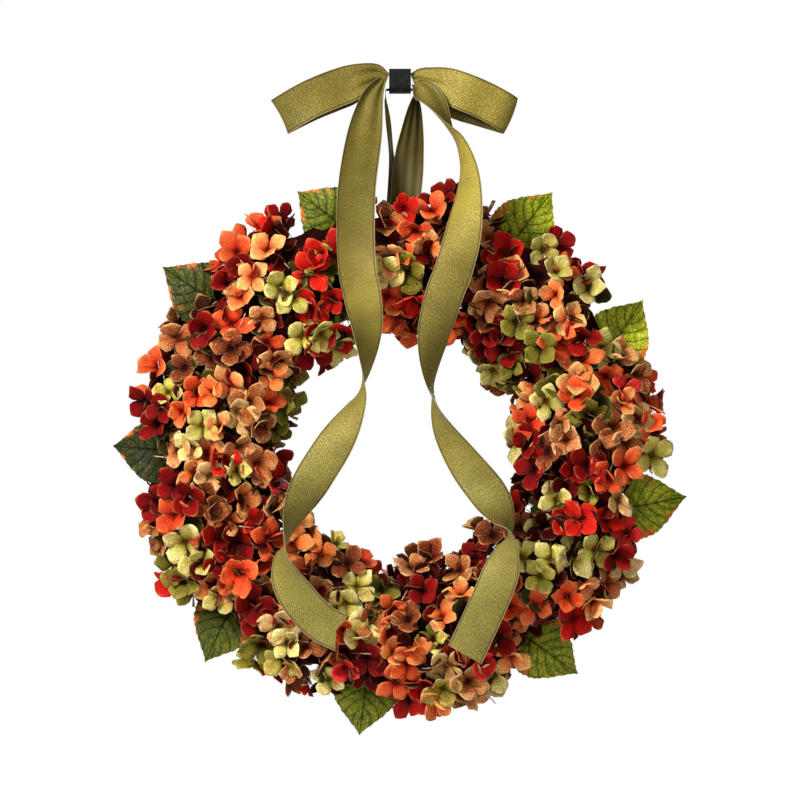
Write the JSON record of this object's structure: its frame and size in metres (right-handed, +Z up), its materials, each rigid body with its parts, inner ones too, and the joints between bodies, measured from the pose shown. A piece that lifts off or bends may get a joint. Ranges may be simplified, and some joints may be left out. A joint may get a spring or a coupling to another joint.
{
  "type": "door wreath",
  "caption": "Dried hydrangea and leaf wreath on a grapevine ring, hung by an olive ribbon with bow and long tails from a black door hook.",
  "frame": {"origin": "middle of the door hook's back face, which lies against the door", "axes": "+Z up the door, -Y out of the door towards the viewer, +X to the viewer's right; the ring hangs below the origin"},
  "size_m": [0.5766, 0.1484, 0.6749],
  "materials": {
    "dried_petals": "dry, papery, veined petals from orange through deep red to lime green",
    "leaf": "waxy green leaf with dark veins and rust-tinted rim",
    "dry_stem": "dry matt stem",
    "grapevine_bark": "rough, stringy bark",
    "ribbon": "fine twill with a soft sheen and thin dark selvedges",
    "florist_wire": "green enamel",
    "black_powder_coat": "matt black powder coat"
  },
  "bodies": {
    "door_hook": {"door_hook": "black_powder_coat"},
    "ribbon_hanger": {"hanging_ribbon": "ribbon", "bow_knot": "ribbon", "bow_wire": "florist_wire"},
    "flower_ring": {"grapevine_strand_1": "grapevine_bark", "grapevine_strand_2": "grapevine_bark", "grapevine_strand_3": "grapevine_bark", "grapevine_strand_4": "grapevine_bark", "grapevine_strand_5": "grapevine_bark", "grapevine_strand_6": "grapevine_bark", "vine_tie_1": "grapevine_bark", "vine_tie_2": "grapevine_bark", "vine_tie_3": "grapevine_bark", "vine_tie_4": "grapevine_bark", "vine_tie_5": "grapevine_bark", "hydrangea_head_1": "dried_petals", "hydrangea_head_2": "dried_petals", "hydrangea_head_3": "dried_petals", "hydrangea_head_4": "dried_petals", "hydrangea_head_5": "dried_petals", "hydrangea_head_6": "dried_petals", "hydrangea_head_7": "dried_petals", "hydrangea_head_8": "dried_petals", "hydrangea_head_9": "dried_petals", "hydrangea_stem_1": "dry_stem", "hydrangea_stem_2": "dry_stem", "hydrangea_stem_3": "dry_stem", "hydrangea_stem_4": "dry_stem", "hydrangea_stem_5": "dry_stem", "hydrangea_stem_6": "dry_stem", "hydrangea_stem_7": "dry_stem", "hydrangea_stem_8": "dry_stem", "hydrangea_stem_9": "dry_stem", "wreath_leaf_1": "leaf", "wreath_leaf_2": "leaf", "wreath_leaf_3": "leaf", "wreath_leaf_4": "leaf", "wreath_leaf_5": "leaf", "wreath_leaf_6": "leaf", "wreath_leaf_7": "leaf", "wreath_leaf_8": "leaf", "wreath_leaf_9": "leaf", "leaf_petiole_1": "dry_stem", "leaf_petiole_2": "dry_stem", "leaf_petiole_3": "dry_stem", "leaf_petiole_4": "dry_stem", "leaf_petiole_5": "dry_stem", "leaf_petiole_6": "dry_stem", "leaf_petiole_7": "dry_stem", "leaf_petiole_8": "dry_stem", "leaf_petiole_9": "dry_stem"},
    "left_bow_loop": {"left_bow_loop": "ribbon"},
    "right_bow_loop": {"right_bow_loop": "ribbon"},
    "left_ribbon_tail": {"left_ribbon_tail": "ribbon"},
    "right_ribbon_tail": {"right_ribbon_tail": "ribbon"}
  },
  "joints": [
    {"name": "swing_off_door", "type": "hinge", "parent": "door_hook", "child": "ribbon_hanger", "pos_m": [0, -0.008, -0.0045], "axis": [-1, 0, 0], "range_deg": [0, 15]},
    {"name": "ring_tilt", "type": "hinge", "parent": "ribbon_hanger", "child": "flower_ring", "pos_m": [0, -0.0311, -0.1785], "axis": [0, -1, 0], "range_deg": [-8, 8]},
    {"name": "left_loop_flex", "type": "hinge", "parent": "ribbon_hanger", "child": "left_bow_loop", "pos_m": [-0.0125, -0.008, 0], "axis": [0, 1, 0], "range_deg": [-12, 12]},
    {"name": "right_loop_flex", "type": "hinge", "parent": "ribbon_hanger", "child": "right_bow_loop", "pos_m": [0.0125, -0.008, 0], "axis": [0, -1, 0], "range_deg": [-12, 12]},
    {"name": "left_tail_lift", "type": "hinge", "parent": "ribbon_hanger", "child": "left_ribbon_tail", "pos_m": [-0.0125, -0.0165, 0], "axis": [-1, 0, 0], "range_deg": [0, 35]},
    {"name": "right_tail_lift", "type": "hinge", "parent": "ribbon_hanger", "child": "right_ribbon_tail", "pos_m": [0.0125, -0.0165, 0], "axis": [-1, 0, 0], "range_deg": [0, 35]}
  ]
}
